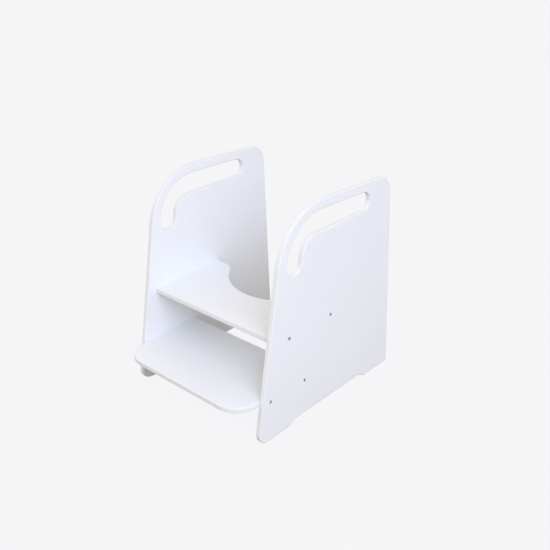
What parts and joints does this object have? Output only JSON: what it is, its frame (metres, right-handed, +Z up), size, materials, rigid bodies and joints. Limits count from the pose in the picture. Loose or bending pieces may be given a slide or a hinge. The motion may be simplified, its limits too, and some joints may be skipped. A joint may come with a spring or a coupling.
{
  "type": "two-step stool",
  "caption": "Two-step stool with side panels that carry an upper and a lower board, bent hand-hold slots, and a round rear cut-out that fits round a toilet bowl.",
  "frame": {"origin": "on the floor, in the middle of the footprint", "axes": "+Z up, front of the stool towards -Y, +X towards the right-hand panel as seen from the front"},
  "size_m": [0.402, 0.49, 0.491],
  "materials": {
    "white_lacquer": "satin white lacquer over fibreboard",
    "zinc_screw": "bright zinc plate",
    "beech_dowel": "plain beech",
    "grip_rubber": "matt grey elastomer"
  },
  "bodies": {
    "root": {"upper_step_board": "white_lacquer", "lower_step_board": "white_lacquer", "left_side_panel": "white_lacquer", "right_side_panel": "white_lacquer", "upper_left_front_screw": "zinc_screw", "upper_left_rear_screw": "zinc_screw", "upper_left_dowel": "beech_dowel", "lower_left_front_screw": "zinc_screw", "lower_left_rear_screw": "zinc_screw", "lower_left_dowel": "beech_dowel", "front_left_foot_pad": "grip_rubber", "rear_left_foot_pad": "grip_rubber", "upper_right_front_screw": "zinc_screw", "upper_right_rear_screw": "zinc_screw", "upper_right_dowel": "beech_dowel", "lower_right_front_screw": "zinc_screw", "lower_right_rear_screw": "zinc_screw", "lower_right_dowel": "beech_dowel", "front_right_foot_pad": "grip_rubber", "rear_right_foot_pad": "grip_rubber"}
  },
  "joints": []
}
